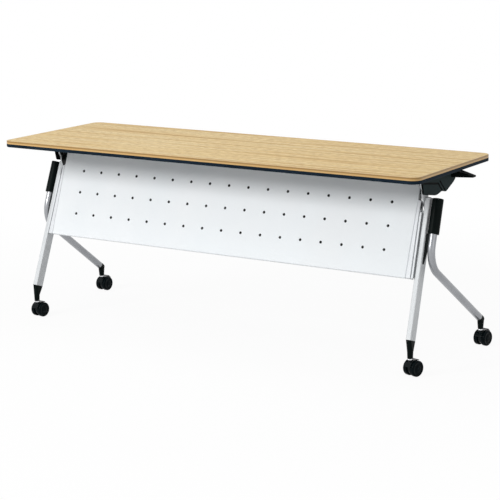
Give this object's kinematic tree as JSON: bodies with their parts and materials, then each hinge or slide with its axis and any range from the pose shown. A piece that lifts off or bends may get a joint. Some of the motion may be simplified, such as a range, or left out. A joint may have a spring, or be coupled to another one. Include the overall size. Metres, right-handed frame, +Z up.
{
  "type": "flip-top conference table",
  "caption": "Long table with a wood-grain flip top, perforated modesty panel, splayed tube legs and braked twin-wheel casters",
  "frame": {"origin": "on the floor, under the middle of the whole footprint", "axes": "+X along the table to the right as seen from the panel's side, +Y towards the seated user, +Z up"},
  "size_m": [1.8166, 0.6238, 0.72],
  "materials": {
    "wood_laminate": "satin melamine, pale oak grain",
    "wood_edge": "tan edge band",
    "black_edge": "soft blue-black edge band",
    "particle_core": "particle board",
    "black_backer": "dark backing laminate",
    "silver_paint": "light silver powder coat",
    "white_paint": "white powder coat",
    "black_steel": "black enamel",
    "zinc_steel": "bright zinc",
    "bush_bronze": "sintered bronze",
    "stem_chrome": "chrome plate",
    "black_plastic": "moulded black",
    "caster_nylon": "moulded black nylon",
    "wheel_rubber": "black polyurethane tread on nylon"
  },
  "bodies": {
    "frame": {"right_main_leg": "silver_paint", "left_main_leg": "silver_paint", "right_rear_leg": "silver_paint", "left_rear_leg": "silver_paint", "right_sleeve": "black_plastic", "left_sleeve": "black_plastic", "leg_webs": "black_plastic", "right_hinge_plate": "silver_paint", "left_hinge_plate": "silver_paint", "hinge_bushes": "bush_bronze", "cross_beam": "white_paint", "modesty_panel": "white_paint", "panel_back": "white_paint", "right_panel_rail": "white_paint", "left_panel_rail": "white_paint", "rail_caps": "black_plastic", "panel_screws": "zinc_steel", "right_front_socket": "black_plastic", "left_front_socket": "black_plastic", "right_rear_elbow": "black_plastic", "left_rear_elbow": "black_plastic", "caster_stems": "stem_chrome", "leg_caps": "black_plastic"},
    "top": {"board_core": "particle_core", "top_laminate": "wood_laminate", "underside_sheet": "black_backer", "wood_edge_band": "wood_edge", "black_edge_band": "black_edge", "board_screws": "zinc_steel", "right_top_bracket": "black_steel", "left_top_bracket": "black_steel", "hinge_pins": "zinc_steel", "right_outer_cover": "black_plastic", "left_outer_cover": "black_plastic", "right_inner_cover": "black_plastic", "left_inner_cover": "black_plastic", "bolt_springs": "zinc_steel"},
    "release": {"release_shaft": "zinc_steel", "release_cranks": "zinc_steel", "right_lever": "black_plastic", "left_lever": "black_plastic"},
    "lock": {"lock_slides": "zinc_steel"},
    "front_right_caster": {"front_right_caster_hood": "caster_nylon", "front_right_caster_axle": "zinc_steel"},
    "front_right_outer_wheel": {"front_right_wheel_a": "wheel_rubber"},
    "front_right_inner_wheel": {"front_right_wheel_b": "wheel_rubber"},
    "rear_right_caster": {"rear_right_caster_hood": "caster_nylon", "rear_right_caster_axle": "zinc_steel"},
    "rear_right_outer_wheel": {"rear_right_wheel_a": "wheel_rubber"},
    "rear_right_inner_wheel": {"rear_right_wheel_b": "wheel_rubber"},
    "rear_right_brake": {"rear_right_brake_pedal": "caster_nylon"},
    "front_left_caster": {"front_left_caster_hood": "caster_nylon", "front_left_caster_axle": "zinc_steel"},
    "front_left_outer_wheel": {"front_left_wheel_a": "wheel_rubber"},
    "front_left_inner_wheel": {"front_left_wheel_b": "wheel_rubber"},
    "rear_left_caster": {"rear_left_caster_hood": "caster_nylon", "rear_left_caster_axle": "zinc_steel"},
    "rear_left_outer_wheel": {"rear_left_wheel_a": "wheel_rubber"},
    "rear_left_inner_wheel": {"rear_left_wheel_b": "wheel_rubber"},
    "rear_left_brake": {"rear_left_brake_pedal": "caster_nylon"}
  },
  "joints": [
    {"name": "board_flip", "type": "hinge", "parent": "frame", "child": "top", "pos_m": [0, -0.06009, 0.658], "axis": [1, 0, 0], "range_deg": [0, 70]},
    {"name": "release_pull", "type": "hinge", "parent": "top", "child": "release", "pos_m": [0, 0.13391, 0.668], "axis": [1, 0, 0], "range_deg": [0, 18], "stiffness_Nm_per_rad": 3, "springref_deg": -20.05},
    {"name": "lock_slide", "type": "slide", "parent": "top", "child": "lock", "axis": [0, 1, 0], "range_m": [0, 0.0066], "deforming": ["bolt_springs"]},
    {"name": "front_right_swivel", "type": "hinge", "parent": "frame", "child": "front_right_caster", "pos_m": [0.8346, -0.22276, 0], "axis": [0, 0, 1], "continuous": true},
    {"name": "front_right_outer_roll", "type": "hinge", "parent": "front_right_caster", "child": "front_right_outer_wheel", "pos_m": [0.83901, -0.20738, 0.029], "axis": [0.9613, -0.2756, 0], "continuous": true},
    {"name": "front_right_inner_roll", "type": "hinge", "parent": "front_right_caster", "child": "front_right_inner_wheel", "pos_m": [0.83901, -0.20738, 0.029], "axis": [0.9613, -0.2756, 0], "continuous": true},
    {"name": "rear_right_swivel", "type": "hinge", "parent": "frame", "child": "rear_right_caster", "pos_m": [0.8797, 0.26175, 0], "axis": [0, 0, 1], "continuous": true},
    {"name": "rear_right_outer_roll", "type": "hinge", "parent": "rear_right_caster", "child": "rear_right_outer_wheel", "pos_m": [0.88248, 0.2775, 0.029], "axis": [0.9848, -0.1736, 0], "continuous": true},
    {"name": "rear_right_inner_roll", "type": "hinge", "parent": "rear_right_caster", "child": "rear_right_inner_wheel", "pos_m": [0.88248, 0.2775, 0.029], "axis": [0.9848, -0.1736, 0], "continuous": true},
    {"name": "rear_right_brake_press", "type": "hinge", "parent": "rear_right_caster", "child": "rear_right_brake", "pos_m": [0.88517, 0.29276, 0.05814], "axis": [0.9848, -0.1736, 0], "range_deg": [-12, 0]},
    {"name": "front_left_swivel", "type": "hinge", "parent": "frame", "child": "front_left_caster", "pos_m": [-0.8346, -0.22276, 0], "axis": [0, 0, 1], "continuous": true},
    {"name": "front_left_outer_roll", "type": "hinge", "parent": "front_left_caster", "child": "front_left_outer_wheel", "pos_m": [-0.83321, -0.20682, 0.029], "axis": [0.9962, -0.0872, 0], "continuous": true},
    {"name": "front_left_inner_roll", "type": "hinge", "parent": "front_left_caster", "child": "front_left_inner_wheel", "pos_m": [-0.83321, -0.20682, 0.029], "axis": [0.9962, -0.0872, 0], "continuous": true},
    {"name": "rear_left_swivel", "type": "hinge", "parent": "frame", "child": "rear_left_caster", "pos_m": [-0.8797, 0.26175, 0], "axis": [0, 0, 1], "continuous": true},
    {"name": "rear_left_outer_roll", "type": "hinge", "parent": "rear_left_caster", "child": "rear_left_outer_wheel", "pos_m": [-0.87914, 0.27774, 0.029], "axis": [0.9994, -0.0349, 0], "continuous": true},
    {"name": "rear_left_inner_roll", "type": "hinge", "parent": "rear_left_caster", "child": "rear_left_inner_wheel", "pos_m": [-0.87914, 0.27774, 0.029], "axis": [0.9994, -0.0349, 0], "continuous": true},
    {"name": "rear_left_brake_press", "type": "hinge", "parent": "rear_left_caster", "child": "rear_left_brake", "pos_m": [-0.8786, 0.29322, 0.05814], "axis": [0.9994, -0.0349, 0], "range_deg": [-12, 0]}
  ],
  "couplings": [
    {"joint": "lock_slide", "follows": "release_pull", "m_per_rad": 0.019673}
  ]
}
